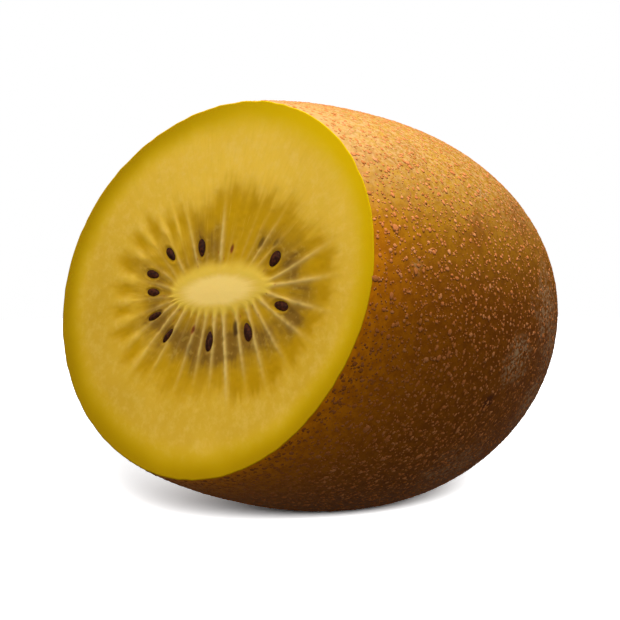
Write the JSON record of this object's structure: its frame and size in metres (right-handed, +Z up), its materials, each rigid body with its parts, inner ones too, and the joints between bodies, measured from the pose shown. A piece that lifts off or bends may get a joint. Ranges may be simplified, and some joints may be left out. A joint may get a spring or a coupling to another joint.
{
  "type": "golden kiwi fruit",
  "caption": "Golden kiwi fruit lying on its side with one end cut off, showing seeds round a pale core in yellow flesh, in thin spotted brown skin.",
  "frame": {"origin": "on the surface that the fruit lies on, under the middle of its outer box", "axes": "+Z up; +Y along the fruit, seen from above, from the cut face to the stalk end; +X to the right for someone who faces the cut face"},
  "size_m": [0.052, 0.0536, 0.049],
  "materials": {
    "skin": "smooth brown skin with raised corky spots",
    "flesh": "moist translucent flesh",
    "core": "moist pale core",
    "seed": "wet dark seed"
  },
  "bodies": {
    "root": {"golden_kiwi": "skin"}
  },
  "joints": []
}
